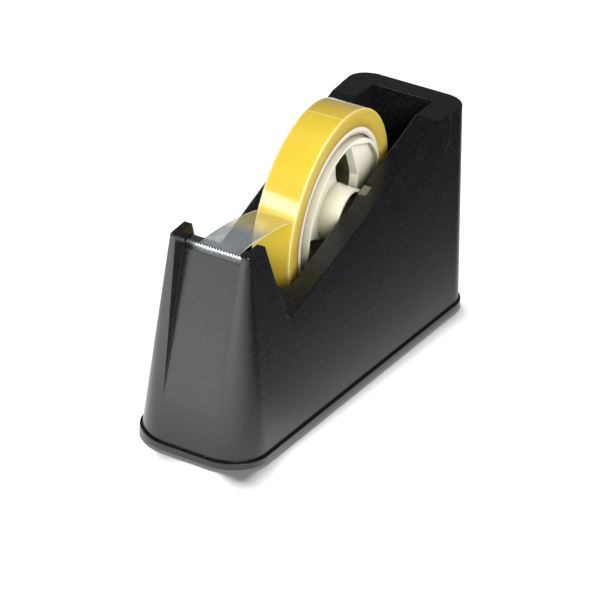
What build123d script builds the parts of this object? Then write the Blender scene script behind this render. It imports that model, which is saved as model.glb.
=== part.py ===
"""Weighted desk tape dispenser for tape on a 76 mm core.

The object stands on the plane Z = 0. X runs across the body, Y runs from the
cutter (front, -Y) to the tall end (back, +Y). The origin is the middle of the
base outline, on the standing surface. All sizes are millimetres.
"""
from build123d import *
import math
import os

# ---- body shell and its outline ----
base_length = 218.0          # over the base rim, along Y
front_width = 60.0           # base rim at the front end, before the corners are rounded
rear_width = 84.0            # base rim at the back end, before the corners are rounded
front_end = -base_length / 2
rear_end = base_length / 2
body_height = 106.5          # flat top at the back
shell_setback = 1.2          # shell skin inside the base rim
side_lean = 0.102            # inward lean of each side, per mm of height
front_lean = 0.041
rear_lean = 0.063
front_radius_low = 19.0      # front corners at the bottom of the shell
front_radius_high = 1.6      # front corners at the top
rear_radius_low = 17.0
rear_radius_high = 11.5
wall = 3.0                   # shell skin
inner_wall = 2.5             # walls and floor of the tape well

# ---- side profile of the shell ----
ear_height = 103.0           # top of the two cutter posts
post_depth = 19.5            # from the front end back to the rear edge of the post tops
ear_back_y = front_end + post_depth
ear_back_lean = 0.45         # the post backs run rearwards, per mm going down
flat_top_depth = 40.0        # from the rear end forward to the start of the sloping top
slope_top_y = rear_end - flat_top_depth
slope_rise = 0.33            # rise of the sloping top, per mm along Y
valley_radius = 4.0

# ---- tape well ----
well_half_width = 15.75
well_front_y = -52.8
well_rear_depth = 20.0       # from the rear end to the well
well_rear_y = rear_end - well_rear_depth
well_floor = 20.0

# ---- recessed front panel and the bridge under the cutter ----
bridge_top = 95.2
bridge_setback = 12.0        # from the front end back to the bridge
bridge_depth = 7.5
bridge_front_y = front_end + bridge_setback
bridge_rear_y = bridge_front_y + bridge_depth
pocket_depth = 29.5          # open space behind the bridge
pocket_wall_depth = 15.5     # the shell stays solid this far behind the bridge, above the pocket floor
pocket_floor = 78.0
panel_bottom = 16.5
panel_bottom_setback = 0.8
panel_bottom_y = front_end + panel_bottom_setback
panel_half_high = 15.75
panel_half_low = 13.5
edge_round = 0.9             # rounding of the outer edges of the top
inner_round = 0.5            # rounding of the well mouth

# ---- shallow facet along the sloping top ----
facet_depth = 0.5
facet_start = 7.0            # first point of the crease behind the valley
facet_drop = 10.5            # height of the facet under the slope at its front end
facet_spread = 0.107         # the facet widens towards the back, per mm of Y
facet_corner = 10.0
facet_end_depth = 29.0
facet_end_y = rear_end - facet_end_depth

# ---- base plate, feet and ballast ----
foot_stand = 1.5             # feet stand this far below the base plate
rim_height = 3.0
reveal = 1.0                 # dark line between the rim and the shell
reveal_setback = 2.2
plate_top = 8.0
plate_play = 0.3
underside_inset = 9.0
underside_depth = 2.0
foot_radius = 7.0
foot_recess = 1.0
foot_front = (17.0, front_end + 23.0)
foot_rear = (29.0, rear_end - 25.0)
ballast_half_width = 22.0
ballast_front_y = -44.0
ballast_rear_y = rear_end - 25.0
ballast_thickness = 8.0
nose_half_width = 17.0
nose_setback = 12.0
nose_length = 29.0
nose_front_y = front_end + nose_setback
nose_rear_y = nose_front_y + nose_length
nose_headroom = 6.5          # from the valley of the top down to the nose ballast

# ---- screws ----
screw_radius = 1.5
screw_head_radius = 3.2
screw_head_height = 2.2
boss_radius = 4.2
boss_top = 40.0
boss_x = 12.5
base_screw_length = 16.0
ballast_screw_length = 9.0
blade_screw_length = 7.0
blade_screw_x = 9.0
blade_screw_z = 86.0

# ---- cutter and tape rest ----
blade_thickness = 0.8
blade_side_play = 0.5
blade_height = 2.7           # toothed leaf, above the bridge
blade_leaf = 4.4             # flat leaf under the rest
blade_setback = 2.4          # toothed leaf behind the front edge of the bridge
tooth_count = 22
tooth_height = 1.2
rest_thickness = 1.2
skirt_thickness = 2.2
skirt_bottom = 79.0
rest_setback = 0.4
rest_round = 0.6

# ---- axle, its end blocks and the grooves they drop into ----
axle_y = 8.0
axle_z = 76.7
axle_radius = 2.0
running_play = 0.05
axle_end_play = 0.3
groove_lean = 32.0           # degrees, the grooves lean back so that a pull on the tape seats them
groove_end = 19.8            # depth of the grooves, from the middle plane
groove_play = 0.1
groove_pad = 2.4             # wall thickness round a groove
block_half = 2.7             # half the width of an axle end block
block_sink = 0.8             # top of a block under the sloping top
block_round = 0.4
block_start = 15.0
spacer_radius = 3.6

# ---- tape and its core ----
core_inner = 38.1
core_outer = 41.0
tape_outer = 49.8
tape_width = 19.0
core_width = 18.6

# ---- reel ----
seat_half_width = 7.5        # cylindrical seat for the core
seat_thickness = 2.5
rim_outer = 36.6             # rim that stands out past the core
rim_inner = 35.2
rim_x = 12.0
barrel_radius = 13.4
barrel_wall = 1.4
barrel_length = 29.6
hub_web = 2.4
hub_radius = 5.0
hub_length = 20.0
spoke_thickness = 1.8
spoke_barrel_x = 5.0         # the dished spokes run from here at the barrel to the rim face
wing_floor_x = 9.8
wing_thickness = 1.6
wing_wall_x = 8.0            # back edge of the wall along the wing
wing_wall = 1.4

# ---- free end of the tape ----
strip_thickness = 0.2
strip_play = 0.1
strip_lead = 0.3             # from the back of the blade to the end of the strip
strip_start_y = bridge_front_y + blade_setback + blade_thickness + strip_lead
strip_gap = 0.35
strip_end_z = 91.6

half_length = rear_end
plate_bottom = foot_stand
rim_top = plate_bottom + rim_height
shell_bottom = rim_top + reveal
taper = (rear_width - front_width) / 2 / base_length
far = 400.0
near = 0.06                  # how close counts as touching when edges are picked


def box(x0, x1, y0, y1, z0, z1):
    """Block between two corners."""
    size = (x1 - x0, y1 - y0, z1 - z0)
    middle = ((x0 + x1) / 2, (y0 + y1) / 2, (z0 + z1) / 2)
    return Pos(*middle) * Box(*size)


def rod(radius, x0, x1, y, z):
    """Cylinder along X."""
    turned = Pos((x0 + x1) / 2, y, z) * Rot(0, 90, 0)
    return turned * Cylinder(radius, x1 - x0)


def post(radius, x, y, z0, z1):
    """Cylinder along Z."""
    return Pos(x, y, (z0 + z1) / 2) * Cylinder(radius, z1 - z0)


def side_slab(points, half_width):
    """Outline in the YZ plane, made solid to both sides of the middle plane."""
    face = Plane.YZ * Polygon(*points, align=None)
    return extrude(face, half_width, both=True)


def rounded_quad(corners, radii, z):
    """Closed wire of four sides whose corners are tangent arcs."""
    arcs = []
    ends = []
    for i, here in enumerate(corners):
        point = Vector(*here, z)
        before = (Vector(*corners[i - 1], z) - point).normalized()
        after = (Vector(*corners[(i + 1) % len(corners)], z) - point).normalized()
        half_angle = math.radians(before.get_angle(after)) / 2
        reach = radii[i] / math.tan(half_angle)
        inward = (before + after).normalized()
        middle = point + inward * (radii[i] / math.sin(half_angle) - radii[i])
        start = point + before * reach
        end = point + after * reach
        arcs.append(Edge.make_three_point_arc(start, middle, end))
        ends.append((start, end))
    edges = []
    for i, arc in enumerate(arcs):
        edges.append(arc)
        edges.append(Edge.make_line(ends[i][1], ends[(i + 1) % len(arcs)][0]))
    return Wire(edges)


def half_width_at(y, z, inset):
    """Half the body width at a place on its side."""
    rise = max(z - shell_bottom, 0.0)
    return front_width / 2 + taper * (y + half_length) - inset - side_lean * rise


def outline(z, inset):
    """Body outline at a height, a distance inside the base rim."""
    rise = max(z - shell_bottom, 0.0)
    share = rise / (body_height - shell_bottom)
    front_y = -half_length + inset + front_lean * rise
    rear_y = half_length - inset - rear_lean * rise
    front_x = half_width_at(front_y, z, inset)
    rear_x = half_width_at(rear_y, z, inset)
    corners = [(front_x, front_y), (rear_x, rear_y), (-rear_x, rear_y), (-front_x, front_y)]
    front_r = front_radius_low + (front_radius_high - front_radius_low) * share
    rear_r = rear_radius_low + (rear_radius_high - rear_radius_low) * share
    tighter = inset - shell_setback
    front_r = max(front_r - tighter, 0.8)
    rear_r = max(rear_r - tighter, 0.8)
    return rounded_quad(corners, [front_r, rear_r, rear_r, front_r], z)


def body_block(z0, z1, inset):
    """Solid body form between two heights."""
    return Solid.make_loft([outline(z0, inset), outline(z1, inset)], ruled=True)


def slab_of(z0, z1, inset):
    """Straight-sided plate with the outline of the base."""
    face = Face(outline(z0, inset))
    return extrude(face, amount=z1 - z0, dir=(0, 0, 1))


def slope_z(y, depth=0.0):
    """Height of the sloping top, or of a surface a given depth under it."""
    slant = math.hypot(1, slope_rise)
    return body_height + (y - slope_top_y) * slope_rise - depth * slant


def top_cut(depth=0.0):
    """Everything above the posts, their backs and the sloping top."""
    top = ear_height - depth
    back_y = ear_back_y - depth * math.hypot(1, ear_back_lean)
    # the post back line meets the sloping line at the valley
    fall = (top - slope_z(back_y, depth)) / (1 + slope_rise * ear_back_lean)
    valley = (back_y + fall * ear_back_lean, top - fall)
    points = [(-far, top), (back_y, top), valley, (far, slope_z(far, depth)), (-far, far)]
    return points, valley


def top_cut_solid(depth=0.0, width=far):
    points, valley = top_cut(depth)
    slab = side_slab(points, width)
    if depth:
        return slab
    corner = slab.edges().filter_by(Axis.X).sort_by_distance((0, *valley))[0]
    return fillet(corner, valley_radius)


def panel_y(z, depth=0.0):
    """Front face of the recessed panel, or a surface behind it."""
    lean = (bridge_front_y - panel_bottom_y) / (bridge_top - panel_bottom)
    return panel_bottom_y + (z - panel_bottom) * lean + depth * math.hypot(1, lean)


def front_recess():
    """Space in front of the panel, between the posts and above the bridge."""
    side = side_slab([
        (-far, panel_bottom),
        (panel_y(panel_bottom), panel_bottom),
        (bridge_front_y, bridge_top),
        (bridge_rear_y + pocket_depth, bridge_top),
        (bridge_rear_y + pocket_depth, body_height + 10),
        (-far, body_height + 10),
    ], panel_half_high + 5)
    front_face = Plane.XZ * Polygon(
        (-panel_half_low, panel_bottom),
        (panel_half_low, panel_bottom),
        (panel_half_high, ear_height),
        (panel_half_high, far),
        (-panel_half_high, far),
        (-panel_half_high, ear_height),
        align=None,
    )
    front = extrude(front_face, far, both=True)
    pocket = box(-panel_half_high + 0.2, panel_half_high - 0.2, bridge_rear_y,
                 bridge_rear_y + pocket_depth, pocket_floor, body_height)
    return (side & front) + pocket


def facet_cut(side):
    """Shallow flat along the sloping top, ending short of the rear corner."""
    start_y = top_cut()[1][0] + facet_start
    crease = []
    for y in (start_y, facet_end_y):
        z = slope_z(y) - facet_drop - facet_spread * (y - start_y)
        crease.append((half_width_at(y, z, shell_setback), y, z))
    z_high = slope_z(slope_top_y)
    edge_x = half_width_at(slope_top_y, z_high, shell_setback) - facet_depth
    front, rear, upper = Vector(*crease[0]), Vector(*crease[1]), Vector(edge_x, slope_top_y, z_high)
    along = (rear - front).normalized()
    outside = Plane(origin=front, x_dir=along, z_dir=along.cross(upper - front))
    if outside.z_dir.X < 0:
        outside = Plane(origin=front, x_dir=along, z_dir=-outside.z_dir)
    tool = outside * (Pos(0, 0, 20) * Box(far, far, 40))
    region = side_slab([
        (front.Y, front.Z - 1),
        (rear.Y - facet_corner, rear.Z - 1),
        (rear.Y, rear.Z + facet_corner),
        (rear.Y, far),
        (top_cut()[1][0] + 0.5, far),
        (top_cut()[1][0] + 0.5, slope_z(top_cut()[1][0])),
    ], far)
    cut = tool & region & box(0, far, -far, far, 0, far)
    if side < 0:
        return mirror(cut, Plane.YZ)
    return cut


def along_groove(shape):
    """Shape drawn round the X axis, Z up the groove, moved to its place on the axle line."""
    return Pos(0, axle_y, axle_z) * Rot(-groove_lean, 0, 0) * shape


def axle_groove(side, extra=0.0):
    """Leaning, open-topped groove for one axle end in the well wall, or the pad round it."""
    half = block_half + groove_play + extra
    end = groove_end + extra
    start = well_half_width - 1
    slot = box(start, end, -half, half, 0, body_height)
    seat = rod(half, start, end, 0, 0)
    groove = along_groove(slot + seat)
    return groove if side > 0 else mirror(groove, Plane.YZ)


def boss_places():
    """Screw bosses against the front and rear walls of the well."""
    front_y = well_front_y - inner_wall - boss_radius + 1.0
    rear_y = well_rear_y + inner_wall + boss_radius - 1.0
    return [(x, y) for x in (-boss_x, boss_x) for y in (front_y, rear_y)]


def ballast_places():
    """Ballast screws: two in the flat plate, two in the nose block."""
    plate_ys = (ballast_front_y + 22, ballast_rear_y - 22)
    nose_y = (nose_front_y + nose_rear_y) / 2
    return [(0, plate_ys[0]), (0, plate_ys[1]), (-8, nose_y), (8, nose_y)]


def foot_places():
    return {
        "front_left_foot": (-foot_front[0], foot_front[1]),
        "front_right_foot": foot_front,
        "rear_left_foot": (-foot_rear[0], foot_rear[1]),
        "rear_right_foot": foot_rear,
    }


def shell_cavity():
    """Hollow inside the shell, open to the base plate."""
    hollow = body_block(shell_bottom - 0.01, body_height - wall, shell_setback + wall)
    hollow -= top_cut_solid(wall)
    hollow -= side_slab([
        (-far, -10),
        (panel_y(-10, wall), -10),
        (panel_y(body_height, wall), body_height),
        (-far, body_height),
    ], far)
    hollow -= box(-far, far, -far, bridge_rear_y + pocket_wall_depth, pocket_floor - wall - 4, far)
    hollow -= box(
        -well_half_width - inner_wall, well_half_width + inner_wall,
        well_front_y - inner_wall, well_rear_y + inner_wall,
        well_floor - inner_wall, far)
    for side in (-1, 1):
        hollow -= axle_groove(side, groove_pad)
    for x, y in boss_places():
        hollow -= post(boss_radius, x, y, plate_top, boss_top)
    return hollow


def on_rim(point):
    """True for a point on the post tops and backs, the valley, the slope or the flat top."""
    valley_y, valley_z = top_cut()[1]
    back_y = ear_back_y + (ear_height - point.Z) * ear_back_lean
    on_flat = abs(point.Z - body_height) < near and point.Y > slope_top_y - near
    on_slope = abs(point.Z - slope_z(point.Y)) < near and point.Y < slope_top_y + near
    on_post = abs(point.Z - ear_height) < near and point.Y < ear_back_y + near
    in_valley = abs(point.Y - valley_y) < valley_radius and point.Z < valley_z + valley_radius
    return on_flat or on_slope or on_post or in_valley or abs(point.Y - back_y) < near


def is_outer_edge(edge):
    """Edge between the top surfaces and the outside of the body."""
    middle = edge @ 0.5
    if not (on_rim(edge @ 0) and on_rim(middle) and on_rim(edge @ 1)):
        return False
    skin = half_width_at(middle.Y, middle.Z, shell_setback)
    front_y = -half_length + shell_setback + front_lean * (ear_height - shell_bottom)
    on_end = middle.Y > well_rear_y + inner_wall or middle.Y < front_y + 2 * front_radius_high
    return abs(middle.X) > skin - edge_round or on_end


def is_well_rim(edge):
    """Edge of the well mouth on the slope and the flat top."""
    middle = edge @ 0.5
    inside = abs(middle.X) < well_half_width + near and well_front_y - near < middle.Y < well_rear_y + near
    across = abs(middle.Y - slope_top_y) < near and abs(middle.X) < near
    long_enough = edge.length > 2 * valley_radius
    return inside and long_enough and not across and on_rim(edge @ 0) and on_rim(edge @ 1)


def body_shell():
    shell = body_block(shell_bottom, body_height, shell_setback)
    shell -= top_cut_solid()
    shell -= front_recess()
    shell = fillet(shell.edges().filter_by(is_outer_edge), edge_round)
    for side in (-1, 1):
        shell -= facet_cut(side)
    shell -= box(-well_half_width, well_half_width, well_front_y, well_rear_y, well_floor, far)
    shell = fillet(shell.edges().filter_by(is_well_rim), inner_round)
    shell -= shell_cavity()
    for side in (-1, 1):
        shell -= axle_groove(side)
    for x, y in boss_places():
        shell -= post(screw_radius, x, y, plate_top - 1, plate_top + base_screw_length)
    for x in (-blade_screw_x, blade_screw_x):
        pilot = Pos(x, bridge_rear_y - blade_screw_length / 2, blade_screw_z) * Rot(90, 0, 0)
        shell -= pilot * Cylinder(screw_radius, blade_screw_length)
    return shell


def base_plate():
    plate = slab_of(plate_bottom, rim_top, 0.0)
    plate += slab_of(rim_top, shell_bottom, reveal_setback)
    lean_room = side_lean * (plate_top - shell_bottom)
    plate += slab_of(shell_bottom, plate_top, shell_setback + wall + lean_room + plate_play)
    hollow = slab_of(plate_bottom, plate_bottom + underside_depth, underside_inset)
    for x, y in foot_places().values():
        hollow -= post(foot_radius + 2.5, x, y, 0, far)
    plate -= hollow
    for x, y in foot_places().values():
        plate -= post(foot_radius, x, y, 0, plate_bottom + foot_recess)
    for x, y in boss_places():
        plate -= post(screw_radius, x, y, 0, far)
        plate -= post(screw_head_radius, x, y, 0, plate_top - 2.5)
    for x, y in ballast_places():
        plate -= post(screw_radius, x, y, 0, far)
        plate -= post(screw_head_radius, x, y, 0, plate_top - 2.5)
    return plate


def foot(x, y):
    pad = post(foot_radius, x, y, 0, plate_bottom + foot_recess)
    return fillet(pad.edges().filter_by(GeomType.CIRCLE).sort_by(Axis.Z)[0], 0.6)


def screw(x, y, length):
    """Pan-head screw driven upwards from below, with a cross slot."""
    under = plate_top - 2.5
    body = post(screw_radius, x, y, under - 0.1, under + length)
    head = post(screw_head_radius - 0.2, x, y, under - screw_head_height, under)
    head = fillet(head.edges().filter_by(GeomType.CIRCLE).sort_by(Axis.Z)[0], 0.8)
    for turn in (0, 90):
        slot = Pos(x, y, under - screw_head_height) * Rot(0, 0, turn) * Box(3.6, 0.7, 1.8)
        head -= slot
    return body + head


def ballast_plate():
    block = box(-ballast_half_width, ballast_half_width, ballast_front_y, ballast_rear_y,
                plate_top, plate_top + ballast_thickness)
    block = chamfer(block.edges().filter_by(Axis.Z), 4)
    for x, y in ballast_places()[:2]:
        block -= post(screw_radius, x, y, 0, plate_top + ballast_screw_length - 2.5)
    return block


def nose_ballast():
    valley_z = top_cut()[1][1]
    block = box(-nose_half_width, nose_half_width, nose_front_y, nose_rear_y,
                plate_top, valley_z - nose_headroom)
    block = chamfer(block.edges().filter_by(Axis.Z), 3)
    for x, y in ballast_places()[2:]:
        block -= post(screw_radius, x, y, 0, plate_top + ballast_screw_length - 2.5)
    return block


def cutter_blade():
    half = panel_half_high - blade_side_play
    front_y = bridge_front_y + blade_setback
    leaf = box(-half, half, front_y, front_y + blade_leaf, bridge_top, bridge_top + blade_thickness)
    top = bridge_top + blade_height
    upright = box(-half, half, front_y, front_y + blade_thickness, bridge_top, top)
    pitch = 2 * half / tooth_count
    for i in range(tooth_count + 1):
        x = -half + i * pitch
        gap = Plane.XZ * Polygon((x - pitch / 2, top + 0.01), (x, top - tooth_height),
                                 (x + pitch / 2, top + 0.01), align=None)
        upright -= extrude(gap, far, both=True)
    return leaf + upright


def tape_rest():
    """Small shelf that clamps the blade and carries the end of the tape."""
    half = panel_half_high - blade_side_play
    front_y = bridge_front_y + blade_setback + blade_thickness + rest_setback
    leaf_top = bridge_top + blade_thickness
    rest_top = leaf_top + rest_thickness
    rear_y = bridge_rear_y + skirt_thickness
    leaf_end = bridge_front_y + blade_setback + blade_leaf
    shelf = box(-half, half, front_y, rear_y, leaf_top, rest_top)
    shelf = fillet(shelf.edges().filter_by(Axis.X).group_by(Axis.Z)[-1], rest_round)
    foot_block = box(-half, half, leaf_end, rear_y, bridge_top, leaf_top)
    skirt = box(-half, half, bridge_rear_y, rear_y, skirt_bottom, leaf_top)
    rest = shelf + foot_block + skirt
    for x in (-blade_screw_x, blade_screw_x):
        hole = Pos(x, bridge_rear_y, blade_screw_z) * Rot(90, 0, 0)
        rest -= hole * Cylinder(screw_radius, 3 * skirt_thickness)
    return rest


def blade_screw(x):
    """Pan-head screw driven forwards through the skirt of the tape rest."""
    skirt_y = bridge_rear_y + skirt_thickness
    tip_y = bridge_rear_y - blade_screw_length
    shank = Pos(x, (skirt_y + tip_y) / 2, blade_screw_z) * Rot(90, 0, 0)
    body = shank * Cylinder(screw_radius, skirt_y - tip_y)
    cap = Pos(x, skirt_y + screw_head_height / 2, blade_screw_z) * Rot(90, 0, 0)
    head = cap * Cylinder(screw_head_radius - 0.2, screw_head_height)
    head = fillet(head.edges().filter_by(GeomType.CIRCLE).sort_by(Axis.Y)[-1], 0.8)
    for turn in (0, 90):
        place = Pos(x, skirt_y + screw_head_height, blade_screw_z) * Rot(0, turn, 0)
        head -= place * Box(3.6, 1.8, 0.7)
    return body + head


def ring(outer, inner, x0, x1):
    return rod(outer, x0, x1, axle_y, axle_z) - rod(inner, x0 - 1, x1 + 1, axle_y, axle_z)


def reel_slab(points, x0, x1):
    """Outline measured from the axle line as (Y, Z), made solid between two X values."""
    placed = [(axle_y + y, axle_z + z) for y, z in points]
    face = Plane.YZ * Polygon(*placed, align=None)
    return Pos(x0, 0, 0) * extrude(face, x1 - x0, dir=(1, 0, 0))


def spoke(turn):
    """Dished spoke, wide at the barrel and running out to the rim face."""
    back_x = spoke_barrel_x - spoke_thickness
    rim_back_x = rim_x - spoke_thickness
    profile = Plane.XZ * Polygon(
        (spoke_barrel_x, barrel_radius - 0.4),
        (rim_x, rim_inner + 0.3),
        (rim_back_x, rim_inner + 0.3),
        (back_x, barrel_radius - 0.4),
        align=None)
    cone = Pos(0, axle_y, axle_z) * revolve(profile, Axis.X)
    width = reel_slab([(2.4, 13.8), (-24.5, 38.4), (-60, 12.8), (-3.2, -13.5), (3, 0)], 0, rim_x + 1)
    whole = cone & width
    return whole.rotate(Axis((0, axle_y, axle_z), (1, 0, 0)), turn)


def wing():
    """Finger wing: a shallow tray between the rim and the barrel, open to the side."""
    outside = [(-1.4, 36.0), (0.2, 32.0), (4.6, 25.3), (7.9, 20.0), (9.2, 17.0), (9.0, 9.0)]
    lower = [(13.0, -2.0), (60.0, -4.0), (60.0, 60.0), (-1.4, 60.0)]
    inside = [(y + wing_wall, z) for y, z in outside]
    within = rod(rim_outer - 0.5, 0, rim_x, axle_y, axle_z) - rod(barrel_radius - 0.4, 0, far, axle_y, axle_z)
    floor = reel_slab(outside + lower, wing_floor_x - wing_thickness, wing_floor_x) & within
    wall = reel_slab(outside + inside[::-1], wing_wall_x, rim_x) & within
    ledge = reel_slab([(-1.4, 35.6), (0.3, 35.1), (22.8, 28.5), (31.0, 22.0), (60, 60), (-1.4, 60)],
                      wing_floor_x - 0.5, rim_x) & within
    return floor + wall + ledge


def reel_half():
    """One moulded half of the reel, on the +X side of the joint plane."""
    half = ring(core_inner, core_inner - seat_thickness, 0, seat_half_width)
    half += ring(rim_outer, rim_inner, seat_half_width - 2, rim_x)
    half += ring(barrel_radius, barrel_radius - barrel_wall, 0, barrel_length / 2)
    half += ring(barrel_radius - 0.5, axle_radius + running_play, 0, hub_web)
    half += ring(hub_radius, axle_radius + running_play, 0, hub_length / 2)
    half += wing()
    for turn in (0, 180):
        half += spoke(turn)
    return half


def reel_axle():
    reach = groove_end - axle_end_play
    rod_body = rod(axle_radius, -reach, reach, axle_y, axle_z)
    ends = rod_body.edges().filter_by(GeomType.CIRCLE)
    return chamfer(ends, 0.5)


def axle_block(side):
    """End block of the axle: a spacer collar and the tongue that fills the groove up to the slope."""
    outer_x = groove_end - axle_end_play
    tongue = box(block_start, outer_x, -block_half, block_half, 0, body_height)
    tongue += rod(block_half, block_start, outer_x, 0, 0)
    tongue += rod(spacer_radius, hub_length / 2 + axle_end_play, block_start + 0.2, 0, 0)
    tongue -= rod(axle_radius, 0, far, 0, 0)
    block = along_groove(tongue) - top_cut_solid(block_sink)
    block = chamfer(block.faces().sort_by(Axis.Z)[-1].edges(), block_round)
    return block if side > 0 else mirror(block, Plane.YZ)


def tape_strip():
    """Free end of the tape, from the roll to the rest beside the blade."""
    rest_top = bridge_top + blade_thickness + rest_thickness
    low = rest_top + strip_play
    reach = math.sqrt((tape_outer + strip_gap) ** 2 - (strip_end_z - axle_z) ** 2)
    end_y = axle_y - reach
    rest_end = bridge_rear_y + skirt_thickness
    middle = ((rest_end + end_y) / 2, (low + strip_end_z) / 2 + 0.5)
    under = [(strip_start_y, low), (rest_end, low), middle, (end_y, strip_end_z)]
    over = [(y, z + strip_thickness) for y, z in reversed(under)]
    return side_slab(under + over, tape_width / 2)


def build_parts():
    half = reel_half()
    rising = [screw(x, y, base_screw_length) for x, y in boss_places()]
    short = [screw(x, y, ballast_screw_length) for x, y in ballast_places()]
    parts = {
        "body_shell": body_shell(),
        "base_plate": base_plate(),
        "ballast_plate": ballast_plate(),
        "nose_ballast": nose_ballast(),
        "cutter_blade": cutter_blade(),
        "tape_rest": tape_rest(),
        "reel_right_half": half,
        "reel_left_half": half.rotate(Axis((0, axle_y, 0), (0, 0, 1)), 180),
        "reel_axle": reel_axle(),
        "right_axle_block": axle_block(1),
        "left_axle_block": axle_block(-1),
        "tape_core": ring(core_outer, core_inner, -core_width / 2, core_width / 2),
        "tape_roll": ring(tape_outer, core_outer, -tape_width / 2, tape_width / 2),
        "tape_strip": tape_strip(),
        "base_screws": Compound(children=rising),
        "ballast_screws": Compound(children=short),
        "blade_screws": Compound(children=[blade_screw(x) for x in (-blade_screw_x, blade_screw_x)]),
    }
    for name, (x, y) in foot_places().items():
        parts[name] = foot(x, y)
    return parts


if __name__ == "__main__":
    os.makedirs("parts", exist_ok=True)
    for name, shape in build_parts().items():
        export_step(shape, f"parts/{name}.step")
        print(name, round(shape.volume, 1))
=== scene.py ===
import bpy, bmesh, math
from mathutils import Vector, Matrix


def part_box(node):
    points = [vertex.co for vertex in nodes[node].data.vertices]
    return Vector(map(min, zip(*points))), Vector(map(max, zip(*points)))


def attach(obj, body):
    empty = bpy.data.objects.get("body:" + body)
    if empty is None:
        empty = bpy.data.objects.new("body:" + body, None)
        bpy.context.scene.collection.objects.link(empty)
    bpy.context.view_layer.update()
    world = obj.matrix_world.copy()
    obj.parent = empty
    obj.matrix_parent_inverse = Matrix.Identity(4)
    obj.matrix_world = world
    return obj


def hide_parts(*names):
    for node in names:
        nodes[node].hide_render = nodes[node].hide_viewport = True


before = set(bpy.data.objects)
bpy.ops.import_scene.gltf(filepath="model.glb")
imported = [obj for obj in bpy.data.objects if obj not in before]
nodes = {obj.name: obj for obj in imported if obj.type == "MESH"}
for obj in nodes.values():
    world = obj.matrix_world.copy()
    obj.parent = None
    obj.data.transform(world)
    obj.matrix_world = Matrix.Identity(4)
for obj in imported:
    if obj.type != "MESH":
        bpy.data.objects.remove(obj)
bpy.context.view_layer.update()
mm = 0.001
print("frame loaded:", len(nodes), "nodes")


# node graphs written as plain expressions
class Sock:
    # wraps an output socket or a number, so that sums and products add their Math nodes
    def __init__(self, tree, value):
        self.tree = tree
        self.value = value

    def maths(self, operation, *others):
        made = self.tree.nodes.new("ShaderNodeMath")
        made.operation = operation
        for place, item in enumerate((self,) + others):
            item = item.value if isinstance(item, Sock) else item
            if isinstance(item, bpy.types.NodeSocket):
                self.tree.links.new(item, made.inputs[place])
            else:
                made.inputs[place].default_value = item
        return Sock(self.tree, made.outputs[0])

    def __add__(self, other): return self.maths("ADD", other)
    def __radd__(self, other): return self.maths("ADD", other)
    def __sub__(self, other): return self.maths("SUBTRACT", other)
    def __rsub__(self, other): return Sock(self.tree, other).maths("SUBTRACT", self)
    def __mul__(self, other): return self.maths("MULTIPLY", other)
    def __rmul__(self, other): return self.maths("MULTIPLY", other)
    def __pow__(self, other): return self.maths("POWER", other)
    def sin(self): return self.maths("SINE")
    def size(self): return self.maths("ABSOLUTE")
    def clamp(self): return self.maths("MAXIMUM", 0.0).maths("MINIMUM", 1.0)

    def past(self, edge, slope):
        # 0 up to the edge, then rising to 1
        return ((self - edge) * slope).clamp()


class Graph:
    # a node tree of any kind: node() makes any node with its settings, values and links
    def __init__(self, tree):
        self.tree = tree

    def node(self, kind, settings=None, **sockets):
        made = self.tree.nodes.new(kind)
        for key, value in (settings or {}).items():
            setattr(made, key, value)
        for key, item in sockets.items():
            self.join(self.socketNamed(made, key), item)
        return {item.name: Sock(self.tree, item) for item in reversed(made.outputs) if item.enabled}

    def socketNamed(self, made, key):
        # Base_Color is the socket "Base Color", _1 is the second socket
        words = key.replace("_", " ").strip().lower()
        for item in made.inputs:
            if item.enabled and item.name.lower() == words:
                return item
        return made.inputs[int(words)]

    def join(self, target, item):
        item = item.value if isinstance(item, Sock) else item
        if isinstance(item, bpy.types.NodeSocket):
            self.tree.links.new(item, target)
        elif target.type == "RGBA" and len(item) == 3:
            target.default_value = (*item, 1.0)
        else:
            target.default_value = item


class Paint(Graph):
    # one material on the Principled shader
    def __init__(self, name):
        self.mat = bpy.data.materials.new(name)
        self.mat.use_nodes = True
        super().__init__(self.mat.node_tree)
        self.tree.nodes.clear()
        self.place = self.node("ShaderNodeTexCoord")["Object"]

    def noise(self, scale, detail=2.0, rough=0.5, at=None):
        return self.node("ShaderNodeTexNoise", None, Vector=at or self.place, Scale=scale,
                         Detail=detail, Roughness=rough)["Fac"]

    def stretched(self, x, y, z):
        return self.node("ShaderNodeMapping", None, Vector=self.place, Scale=(x, y, z))["Vector"]

    def axes(self):
        split = self.node("ShaderNodeSeparateXYZ", None, Vector=self.place)
        return split["X"], split["Y"], split["Z"]

    def blend(self, share, first, second):
        mixed = self.node("ShaderNodeMix", {"data_type": "RGBA"}, _0=share, _6=first, _7=second)
        return mixed["Result"]

    def softEdge(self, radius):
        return self.node("ShaderNodeBevel", {"samples": 4}, Radius=radius)["Normal"]

    def nook(self, reach):
        # 1 in the open, lower in corners and recesses, where shade is painted
        return self.node("ShaderNodeAmbientOcclusion", {"samples": 6}, Distance=reach)["AO"]

    def bump(self, height, strength, distance, under=None):
        sockets = {"Height": height, "Strength": strength, "Distance": distance}
        if under is not None:
            sockets["Normal"] = under
        return self.node("ShaderNodeBump", None, **sockets)["Normal"]

    def finish(self, **sockets):
        shader = self.node("ShaderNodeBsdfPrincipled", None, **sockets)
        self.node("ShaderNodeOutputMaterial", None, Surface=shader["BSDF"])
        return self.mat


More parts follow.
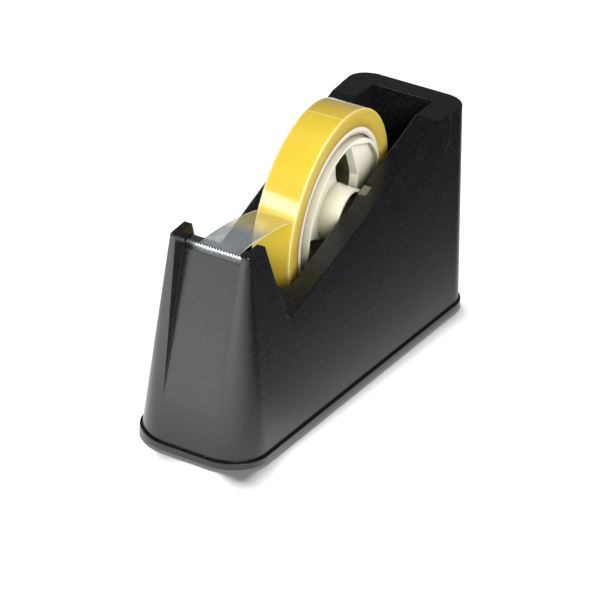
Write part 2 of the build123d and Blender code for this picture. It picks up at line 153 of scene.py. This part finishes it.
# moulded plastic of the body
shellLook = {
    "dark": (0.0012, 0.0016, 0.0020), "light": (0.0034, 0.0040, 0.0046),
    "fleck": (0.062, 0.067, 0.070), "flecks": 0.42, "fleckFrom": 0.42, "fleckSlope": 3.2,
    "rough": 0.24, "grainRough": 0.26, "handledRough": 0.12, "scuffRough": 0.1,
    "grain": 1600, "grainBump": 0.30, "grainDepth": 0.12 * mm, "edge": 0.5 * mm,
}


def shellPlastic():
    paint = Paint("shellPlastic")
    grain = paint.noise(shellLook["grain"], 3, 0.65)
    speckle = paint.noise(shellLook["grain"] * 0.5, 2, 0.6)
    cloud = paint.noise(22, 3, 0.55)
    handled = paint.noise(70, 4, 0.6)
    scuff = paint.noise(260, 2, 0.5, paint.stretched(1.0, 0.12, 1.0)).past(0.63, 3)
    colour = paint.blend(cloud * 0.5 + speckle * 0.5, shellLook["dark"], shellLook["light"])
    # metallic flecks in the plastic
    fleck = grain.past(shellLook["fleckFrom"], shellLook["fleckSlope"]) * shellLook["flecks"]
    colour = paint.blend(fleck, colour, shellLook["fleck"])
    rough = shellLook["rough"] + (grain - 0.5) * shellLook["grainRough"]
    rough = rough + (handled - 0.5) * shellLook["handledRough"] + scuff * shellLook["scuffRough"]
    normal = paint.bump(grain + speckle * 0.6, shellLook["grainBump"], shellLook["grainDepth"],
                        paint.softEdge(shellLook["edge"]))
    return paint.finish(Base_Color=colour, Metallic=fleck, Roughness=rough.clamp(), Normal=normal)


baseLook = {
    "dark": (0.005, 0.0055, 0.006), "light": (0.013, 0.0135, 0.013),
    "dust": (0.06, 0.06, 0.055), "dustiness": 0.3, "rough": 0.30, "edge": 0.6 * mm,
}


def basePlastic():
    paint = Paint("basePlastic")
    grain = paint.noise(1100, 3, 0.6)
    cloud = paint.noise(35, 3)
    dust = paint.noise(400, 4, 0.7).past(0.6, 3)
    colour = paint.blend(cloud, baseLook["dark"], baseLook["light"])
    colour = paint.blend(dust * baseLook["dustiness"], colour, baseLook["dust"])
    rough = (baseLook["rough"] + (grain - 0.5) * 0.2 + dust * 0.1).clamp()
    normal = paint.bump(grain, 0.2, 0.1 * mm, paint.softEdge(baseLook["edge"]))
    return paint.finish(Base_Color=colour, Roughness=rough, Normal=normal)


# cutter, rest and fixings
steelLook = {
    "bright": (0.82, 0.83, 0.84), "dull": (0.50, 0.51, 0.52), "rough": 0.24,
    "gum": (0.45, 0.40, 0.28), "gumminess": 0.25,
}


def bladeSteel():
    paint = Paint("bladeSteel")
    lines = paint.noise(900, 2, 0.5, paint.stretched(0.08, 1.0, 1.0))  # grinding marks
    stain = paint.noise(120, 4, 0.6)
    gum = paint.noise(500, 3, 0.6).past(0.6, 4)  # specks of dried glue
    worn = (stain * 0.6 + lines * 0.4).clamp()
    colour = paint.blend(worn, steelLook["dull"], steelLook["bright"])
    colour = paint.blend(gum * steelLook["gumminess"], colour, steelLook["gum"])
    rough = (steelLook["rough"] + (lines - 0.5) * 0.25 + gum * 0.2).clamp()
    return paint.finish(Base_Color=colour, Metallic=1.0, Roughness=rough,
                        Normal=paint.bump(lines, 0.15, 0.05 * mm))


plainLooks = {
    "restPlastic": {"dark": (0.02, 0.022, 0.024), "light": (0.06, 0.063, 0.066),
                    "rough": 0.25, "metal": 0.0, "grain": 900},
    # painted shade: the cream axle blocks are coloured dark olive for the shade they sit in, down
    # in the groove under the roll
    "shadedAxlePlastic": {"dark": (0.12, 0.11, 0.062), "light": (0.19, 0.175, 0.11),
                    "rough": 0.45, "metal": 0.0, "grain": 700},
    "castIron": {"dark": (0.09, 0.085, 0.08), "light": (0.20, 0.19, 0.18),
                 "rough": 0.7, "metal": 0.6, "grain": 500},
    "zincScrew": {"dark": (0.55, 0.56, 0.56), "light": (0.72, 0.73, 0.73),
                  "rough": 0.28, "metal": 1.0, "grain": 1400},
    "axleSteel": {"dark": (0.45, 0.45, 0.46), "light": (0.62, 0.62, 0.63),
                  "rough": 0.3, "metal": 1.0, "grain": 1200},
    "footRubber": {"dark": (0.010, 0.010, 0.010), "light": (0.028, 0.028, 0.027),
                   "rough": 0.8, "metal": 0.0, "grain": 900},
}


def plainPart(name):
    look = plainLooks[name]
    paint = Paint(name)
    grain = paint.noise(look["grain"], 4, 0.6)
    cloud = paint.noise(look["grain"] * 0.08, 3)
    colour = paint.blend((cloud * 0.6 + grain * 0.4).clamp(), look["dark"], look["light"])
    rough = (look["rough"] + (grain - 0.5) * 0.3).clamp()
    return paint.finish(Base_Color=colour, Roughness=rough, Metallic=look["metal"],
                        Normal=paint.bump(grain, 0.3, 0.15 * mm))


# reel and core
reelLook = {
    "pale": (0.84, 0.82, 0.70), "warm": (0.74, 0.71, 0.57), "shade": (0.20, 0.18, 0.085),
    "shadeFrom": 0.80, "rough": 0.30, "nook": 11 * mm, "edge": 0.3 * mm,
}


def reelPlastic():
    paint = Paint("reelPlastic")
    flow = paint.noise(60, 3, 0.55)  # faint swirls of the moulding
    grain = paint.noise(1300, 2)
    openness = paint.nook(reelLook["nook"])
    colour = paint.blend((flow * 1.4 - 0.2).clamp(), reelLook["pale"], reelLook["warm"])
    # painted shade: corners and recesses of the reel darkened towards olive
    shade = ((reelLook["shadeFrom"] - openness) * 1.5).clamp()
    colour = paint.blend(shade, colour, reelLook["shade"])
    rough = (reelLook["rough"] + (flow - 0.5) * 0.16 + (grain - 0.5) * 0.08).clamp()
    normal = paint.bump(grain, 0.08, 0.08 * mm, paint.softEdge(reelLook["edge"]))
    return paint.finish(Base_Color=colour, Roughness=rough, Normal=normal, Subsurface_Weight=0.12,
                        Subsurface_Radius=(0.6, 0.5, 0.3), Subsurface_Scale=3 * mm)


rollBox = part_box("tape_roll")
axle = (Vector(rollBox[0]) + Vector(rollBox[1])) / 2
rollRadius = (rollBox[1][2] - rollBox[0][2]) / 2
rollHalf = (rollBox[1][0] - rollBox[0][0]) / 2


def fromAxle(paint):
    # distance from the axle line, in metres
    x, y, z = paint.axes()
    return ((y - axle.y) ** 2.0 + (z - axle.z) ** 2.0) ** 0.5


coreLook = {
    "paper": (0.72, 0.68, 0.58), "ply": (0.45, 0.34, 0.27), "fibre": (0.60, 0.55, 0.45),
    "rough": 0.78, "plyDepth": 0.48 * mm, "boreEdge": 39.4 * mm,
}


def corePaper():
    paint = Paint("corePaper")
    fibre = paint.noise(1800, 4, 0.7)
    radius = fromAxle(paint)
    plies = (radius * (2 * math.pi / coreLook["plyDepth"]) + fibre * 1.6).sin() * 0.5 + 0.5
    inner = ((coreLook["boreEdge"] - radius) * 1600).clamp()  # browner towards the bore
    colour = paint.blend((plies * 0.25 + inner * 0.7).clamp(), coreLook["paper"], coreLook["ply"])
    colour = paint.blend(fibre * 0.3, colour, coreLook["fibre"])
    rough = (coreLook["rough"] + (fibre - 0.5) * 0.2).clamp()
    return paint.finish(Base_Color=colour, Roughness=rough,
                        Normal=paint.bump(fibre + plies * 0.5, 0.35, 0.12 * mm))


# wound tape
tapeLook = {
    "amber": (0.76, 0.53, 0.030), "gold": (0.82, 0.62, 0.085), "brown": (0.42, 0.27, 0.05),
    "pale": (0.95, 0.86, 0.50), "ochre": (0.66, 0.47, 0.07), "turn": 0.33 * mm, "rough": 0.17,
    "shadeEdge": 1.0 * mm, "sideBand": 0.25 * mm, "outerBand": 1.2 * mm, "paleBand": 1.3 * mm,
    "corner": 0.45 * mm, "segments": 220,
}


def woundTape():
    paint = Paint("woundTape")
    x, y, z = paint.axes()
    radius = fromAxle(paint)
    wobble = paint.noise(45, 2)
    fine = paint.noise(1500, 3, 0.6)
    turns = (radius * (2 * math.pi / tapeLook["turn"]) + wobble * 5.0).sin() * 0.5 + 0.5
    onSide = x.size().past(rollHalf - tapeLook["sideBand"], 4000)  # 1 on the two flat sides
    outer = radius.past(rollRadius - tapeLook["outerBand"], 900)
    patch = paint.noise(55, 3, 0.55, paint.stretched(0.5, 1, 1))  # air under the last turns
    mottle = (patch * 1.5 - 0.25 + (fine - 0.5) * 0.8).clamp()
    colour = paint.blend(mottle, tapeLook["amber"], tapeLook["gold"])
    onTop = z.past(axle.z, 500)
    paintedShadeTopBack = y.past(tapeLook["shadeEdge"], 3000) * onTop  # painted shade: the top and back of the roll, past this edge, painted duller ochre where the reflection ends
    colour = paint.blend(paintedShadeTopBack * 0.6, colour, tapeLook["ochre"])
    # a thin pale line along that same edge
    step = (1 - ((y - tapeLook["shadeEdge"]).size() * 2200).clamp()) * onTop
    colour = paint.blend(step * 0.6, colour, tapeLook["pale"])
    rim = x.size().past(rollHalf - tapeLook["paleBand"], 1100) * outer  # paler at the cut edges
    colour = paint.blend(rim * 0.55, colour, tapeLook["pale"])
    sides = paint.blend((turns * 0.55 + fine * 0.45).clamp(), tapeLook["brown"], tapeLook["gold"])
    colour = paint.blend(onSide * (1 - outer * 0.6), colour, sides)
    rough = (tapeLook["rough"] + onSide * 0.22 + (fine - 0.5) * 0.10).clamp()
    height = turns * onSide + (patch + paintedShadeTopBack * 0.4 + fine * 0.05) * (1 - onSide) * 0.8
    return paint.finish(Base_Color=colour, Roughness=rough, Coat_Weight=(1 - onSide * 0.8),
                        Coat_Roughness=0.13, Normal=paint.bump(height, 0.30, 0.10 * mm),
                        Subsurface_Weight=0.15, Subsurface_Radius=(1.0, 0.6, 0.1),
                        Subsurface_Scale=2 * mm)


def addObject(name, data):
    thing = bpy.data.objects.new(name, data)
    bpy.context.scene.collection.objects.link(thing)
    return thing


def latheRing(name, profile, segments):
    # closed ring round the axle from (x, radius) points
    mesh = bmesh.new()
    rows = []
    for step in range(segments):
        turn = 2 * math.pi * step / segments
        across, up = math.cos(turn), math.sin(turn)
        rows.append([mesh.verts.new((axle.x + x, axle.y + r * across, axle.z + r * up))
                     for x, r in profile])
    for step in range(segments):
        here, after = rows[step], rows[(step + 1) % segments]
        for i in range(len(profile)):
            j = (i + 1) % len(profile)
            mesh.faces.new((here[i], here[j], after[j], after[i]))
    bmesh.ops.recalc_face_normals(mesh, faces=mesh.faces)
    for face in mesh.faces:
        face.smooth = True
    data = bpy.data.meshes.new(name)
    mesh.to_mesh(data)
    mesh.free()
    return addObject(name, data)


def roundedProfile(half, inner, outer, corner, steps=5):
    points = [(-half, inner), (half, inner)]
    for side, start in ((1, 0.0), (-1, math.pi / 2)):
        for step in range(steps + 1):
            turn = start + math.pi / 2 * step / steps
            points.append((side * (half - corner) + corner * math.cos(turn),
                           outer - corner + corner * math.sin(turn)))
    return points


ridgeLook = {
    "Count": 26, "Inner Radius": 42.0 * mm, "Outer Radius": 49.0 * mm, "Thickness": 0.045 * mm,
    "Seed": 7,
}


def ridgeTree(material):
    # single turns that stand a hair proud on the two flat sides of the roll
    tree = bpy.data.node_groups.new("proudTurns", "GeometryNodeTree")
    face = tree.interface
    for name, kind in (("Geometry", "Geometry"), ("Count", "Int"), ("Inner Radius", "Float"),
                       ("Outer Radius", "Float"), ("Thickness", "Float"), ("Seed", "Int"),
                       ("Half Width", "Float"), ("Axle", "Vector")):
        face.new_socket(name, in_out="INPUT", socket_type="NodeSocket" + kind)
    face.new_socket("Geometry", in_out="OUTPUT", socket_type="NodeSocketGeometry")
    geo = Graph(tree)
    given = geo.node("NodeGroupInput")
    row = geo.node("GeometryNodeMeshLine", None, Count=given["Count"])["Mesh"]
    index = geo.node("GeometryNodeInputIndex")["Index"]
    side = index.maths("MODULO", 2.0) * 2 - 1
    away = geo.node("ShaderNodeCombineXYZ", None, X=side * given["Half Width"])["Vector"]
    spot = geo.node("ShaderNodeVectorMath", {"operation": "ADD"},
                    _0=given["Axle"], _1=away)["Vector"]
    points = geo.node("GeometryNodeSetPosition", None, Geometry=row, Position=spot)["Geometry"]
    radius = geo.node("FunctionNodeRandomValue", {"data_type": "FLOAT"}, Min=given["Inner Radius"],
                      Max=given["Outer Radius"], Seed=given["Seed"])["Value"]
    size = geo.node("ShaderNodeCombineXYZ", None, X=radius, Y=radius, Z=radius)["Vector"]
    turn = geo.node("GeometryNodeCurvePrimitiveCircle", {"mode": "RADIUS"}, Resolution=180,
                    Radius=1.0)["Curve"]
    rings = geo.node("GeometryNodeInstanceOnPoints", None, Points=points, Instance=turn,
                     Rotation=(0, math.pi / 2, 0), Scale=size)["Instances"]
    lines = geo.node("GeometryNodeRealizeInstances", None, Geometry=rings)["Geometry"]
    bead = geo.node("GeometryNodeCurvePrimitiveCircle", {"mode": "RADIUS"}, Resolution=5,
                    Radius=given["Thickness"])["Curve"]
    beads = geo.node("GeometryNodeCurveToMesh", None, Curve=lines, Profile_Curve=bead)["Mesh"]
    finished = geo.node("GeometryNodeSetMaterial", None, Geometry=beads, Material=material)
    geo.node("NodeGroupOutput", None, Geometry=finished["Geometry"])
    return tree


def proudTurns(material):
    holder = addObject("proudTurns", bpy.data.meshes.new("proudTurns"))
    grown = holder.modifiers.new("turns", "NODES")
    grown.node_group = ridgeTree(material)
    sizes = dict(ridgeLook, **{"Half Width": rollHalf, "Axle": axle})
    for item in grown.node_group.interface.items_tree:
        if item.name in sizes:
            grown[item.identifier] = sizes[item.name]
    grownHolder = holder.evaluated_get(bpy.context.evaluated_depsgraph_get())
    plain = bpy.data.meshes.new_from_object(grownHolder)
    bpy.data.objects.remove(holder)
    return plain


def tapeRoll(material):
    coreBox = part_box("tape_core")
    coreRadius = (coreBox[1][2] - coreBox[0][2]) / 2
    profile = roundedProfile(rollHalf, coreRadius, rollRadius, tapeLook["corner"])
    roll = latheRing("tapeRoll", profile, tapeLook["segments"])
    turns = proudTurns(material)
    merged = bmesh.new()
    merged.from_mesh(roll.data)
    merged.from_mesh(turns)
    merged.to_mesh(roll.data)
    merged.free()
    roll.data.materials.clear()
    roll.data.materials.append(material)
    for face in roll.data.polygons:
        face.material_index = 0
    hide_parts("tape_roll")
    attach(roll, "reel")


# free end of the tape
filmLook = {
    "free": (0.30, 0.335, 0.345), "onRoll": (0.86, 0.74, 0.33), "edge": (0.90, 0.92, 0.90),
    "alpha": 0.60, "alphaOnRoll": 0.26, "clearsFrom": -73 * mm, "clearsBy": 60, "rough": 0.14,
    "edgeWidth": 0.30 * mm, "thick": 0.09 * mm, "columns": 12,
    # shares of the run from the rest to the roll, and of the climb
    "path": ((0.15, 0.02), (0.35, 0.14), (0.6, 0.38), (0.85, 0.74)),
    "restGap": 0.18 * mm, "rollGap": 0.2 * mm, "bow": 0.6 * mm, "flatEnd": 2 * mm,
}


def clearFilm():
    paint = Paint("clearFilm")
    x, y, z = paint.axes()
    streak = paint.noise(220, 3, 0.6, paint.stretched(1.0, 0.15, 1.0))
    edge = x.size().past(rollHalf - filmLook["edgeWidth"], 6000)
    glue = paint.noise(420, 3, 0.6).past(0.58, 5)
    near = y.past(filmLook["clearsFrom"], filmLook["clearsBy"])  # 1 close to the roll
    colour = paint.blend(near, filmLook["free"], filmLook["onRoll"])
    colour = paint.blend((edge + glue * 0.12).clamp(), colour, filmLook["edge"])
    body = filmLook["alpha"] + near * (filmLook["alphaOnRoll"] - filmLook["alpha"])
    alpha = (body + edge * 0.35 + (streak - 0.5) * 0.25 + glue * 0.08).clamp()
    rough = (filmLook["rough"] + glue * 0.25).clamp()
    return paint.finish(Base_Color=colour, Alpha=alpha, Roughness=rough, Coat_Weight=0.6,
                        Coat_Roughness=0.05, Normal=paint.bump(streak, 0.12, 0.1 * mm))


def tapeFilm(material):
    low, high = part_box("tape_strip")
    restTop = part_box("tape_rest")[1][2]
    leave = Vector((0, high[1], low[2] + filmLook["rollGap"]))  # where the film peels off
    top = restTop + filmLook["restGap"]
    start = low[1] + 0.1 * mm
    rise = leave.z - top
    path = [(start, top), (start + filmLook["flatEnd"], top)]
    path += [(start + run * (leave.y - start), top + rise * climb + filmLook["bow"])
             for run, climb in filmLook["path"]]
    path += [(leave.y - 0.3 * mm, leave.z)]
    curve = bpy.data.curves.new("filmPath", "CURVE")
    curve.dimensions = "3D"
    spline = curve.splines.new("NURBS")
    spline.points.add(len(path) - 1)
    for point, (y, z) in zip(spline.points, path):
        point.co = (0, y, z, 1)
    spline.order_u = 3
    spline.use_endpoint_u = True
    spline.resolution_u = 8
    holder = addObject("filmPath", curve)
    line = [v.co.copy() for v in bpy.data.meshes.new_from_object(holder).vertices]
    bpy.data.objects.remove(holder)
    mesh = bmesh.new()
    rows = []
    count = filmLook["columns"]
    for point in line:
        row = []
        for i in range(count + 1):
            share = 2 * i / count - 1
            row.append(mesh.verts.new((share * rollHalf, point.y, point.z)))
        rows.append(row)
    for here, after in zip(rows, rows[1:]):
        for i in range(count):
            mesh.faces.new((here[i], here[i + 1], after[i + 1], after[i]))
    for face in mesh.faces:
        face.smooth = True
    data = bpy.data.meshes.new("tapeFilm")
    mesh.to_mesh(data)
    mesh.free()
    film = addObject("tapeFilm", data)
    film.data.materials.append(material)
    thick = film.modifiers.new("thick", "SOLIDIFY")
    thick.thickness = filmLook["thick"]
    thick.offset = 0
    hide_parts("tape_strip")
    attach(film, "carrier")


# finishes for the carried-over parts
def wear(material, *pieces):
    for piece in pieces:
        for slot in nodes[piece].material_slots:
            slot.material = material


wear(shellPlastic(), "body_shell")
wear(basePlastic(), "base_plate")
wear(bladeSteel(), "cutter_blade")
wear(plainPart("restPlastic"), "tape_rest")
wear(reelPlastic(), "reel_right_half", "reel_left_half")
wear(plainPart("shadedAxlePlastic"), "right_axle_block", "left_axle_block")
wear(corePaper(), "tape_core")
wear(plainPart("castIron"), "ballast_plate", "nose_ballast")
wear(plainPart("zincScrew"), "base_screws", "ballast_screws", "blade_screws")
wear(plainPart("axleSteel"), "reel_axle")
wear(plainPart("footRubber"),
     "front_left_foot", "front_right_foot", "rear_left_foot", "rear_right_foot")
print("finishes given")

tapeRoll(woundTape())
tapeFilm(clearFilm())
print("tape made")


# camera, floor and light
view = {"azimuth": 24.11, "elevation": 27.78, "roll": 6.13, "distance": 1.26897,
        "target": (-0.00207, 0.0, 0.03191), "lens": 165.0}


def placeCamera():
    turn, lift, roll = (math.radians(view[key]) for key in ("azimuth", "elevation", "roll"))
    level = math.cos(lift)
    back = Vector((math.sin(turn) * level, -math.cos(turn) * level, math.sin(lift)))
    right = Vector((math.cos(turn), math.sin(turn), 0))
    up = back.cross(right)
    rightRolled = right * math.cos(roll) + up * math.sin(roll)
    upRolled = up * math.cos(roll) - right * math.sin(roll)
    data = bpy.data.cameras.new("camera")
    data.lens = view["lens"]
    data.sensor_width = 36
    data.clip_end = 20
    camera = addObject("camera", data)
    turned = Matrix((rightRolled, upRolled, back)).transposed().to_4x4()
    place = Vector(view["target"]) + back * view["distance"]
    camera.matrix_world = Matrix.Translation(place) @ turned
    bpy.context.scene.camera = camera


studioLook = {
    "floor": (0.72, 0.72, 0.72), "floorTone": (0.76, 0.76, 0.76), "floorGlow": 0.16,
    "floorHalf": 6, "world": 0.26,
    "cardFront": 3.9, "cardSide": 0.95, "cardFade": 32 * mm, "cardHalf": 3, "cardDepth": 2 * mm,
}

lights = {
    "keyLight": {"place": (1.1, -0.7, 1.0), "aim": (0, 0, 0.06), "size": (0.9, 0.9), "power": 37},
    "bandLight": {"place": (-0.57, -1.29, 0.54), "aim": (0, -0.03, 0.09), "size": (0.8, 0.36),
                  "power": 6.2},
    "leftLight": {"place": (-1.2, 0.5, 1.0), "aim": (0, 0, 0.06), "size": (0.8, 0.8), "power": 8},
    "shadowLight": {"place": (-0.27, 0.10, 2.2), "aim": (0, 0, 0), "size": (0.25, 0.25),
                    "power": 71, "onFloor": True},
}


def areaLight(name, floor, place, aim, size, power, onFloor=False):
    # onFloor: the light falls on the floor only, otherwise on everything but the floor
    data = bpy.data.lights.new(name, "AREA")
    data.shape = "RECTANGLE"
    data.size, data.size_y = size
    data.energy = power
    light = addObject(name, data)
    light.location = place
    light.rotation_euler = (Vector(aim) - Vector(place)).to_track_quat("-Z", "Y").to_euler()
    lit = bpy.data.collections.new(name + "Receivers")
    lit.objects.link(floor)
    lit.collection_objects[0].light_linking.link_state = "INCLUDE" if onFloor else "EXCLUDE"
    light.light_linking.receiver_collection = lit


def flatSheet(name, half, z, material):
    mesh = bpy.data.meshes.new(name)
    corners = [(-half, -half, z), (half, -half, z), (half, half, z), (-half, half, z)]
    mesh.from_pydata(corners, [], [(0, 1, 2, 3)])
    sheet = addObject(name, mesh)
    sheet.data.materials.append(material)
    return sheet


def studioFloor():
    paint = Paint("paleFloor")
    tone = paint.noise(3, 2)
    colour = paint.blend(tone * 0.2, studioLook["floor"], studioLook["floorTone"])
    floor = flatSheet("floor", studioLook["floorHalf"], 0, paint.finish(
        Base_Color=colour, Roughness=0.9, Specular_IOR_Level=0.1,
        Emission_Color=(1, 1, 1), Emission_Strength=studioLook["floorGlow"]))
    floor.visible_glossy = False
    return floor


def reflectorCard():
    # a glowing card under the floor that only gloss sees: bright in front, fading beside the body
    paint = Paint("reflectorCard")
    x, y, z = paint.axes()
    front = ((0.0 - y - 0.03) * 9).clamp()
    out = (x - 0.04).maths("MAXIMUM", 0.0)
    side = (out * (-1 / studioLook["cardFade"])).maths("EXPONENT")
    beyond = (((0.0 - y - 0.12) * 9).clamp() * 0.45 + 0.55) * (1 - (out * 6).clamp() * 0.7)
    glow = front * beyond * studioLook["cardFront"] + (1 - front) * side * studioLook["cardSide"]
    glow = glow * (1 - (y.size() * 0.4).clamp())
    tint = paint.node("ShaderNodeCombineColor", None, Red=glow * 0.97, Green=glow, Blue=glow)
    glowing = paint.finish(Base_Color=(0, 0, 0), Emission_Color=tint["Color"],
                           Emission_Strength=1.0, Specular_IOR_Level=0.0)
    half, depth = studioLook["cardHalf"], studioLook["cardDepth"]
    card = flatSheet("reflectorCard", half, -depth, glowing)
    card.visible_camera = False
    card.visible_diffuse = False
    card.visible_shadow = False
    card.visible_transmission = False


def studioWorld():
    world = bpy.data.worlds.new("studio")
    world.use_nodes = True
    graph = Graph(world.node_tree)
    world.node_tree.nodes.clear()
    direction = graph.node("ShaderNodeTexCoord")["Generated"]
    up = graph.node("ShaderNodeSeparateXYZ", None, Vector=direction)["Z"]
    ring = ((1 - up.size()) ** 2.0) * studioLook["world"]  # bright low down, dark overhead
    sky = graph.node("ShaderNodeBackground", None, Color=(1, 1, 1), Strength=ring)
    graph.node("ShaderNodeOutputWorld", None, Surface=sky["Background"])
    bpy.context.scene.world = world


placeCamera()
floor = studioFloor()
reflectorCard()
studioWorld()
for name, light in lights.items():
    areaLight(name, floor, **light)
bpy.context.scene.view_settings.view_transform = "Standard"
print("studio set")
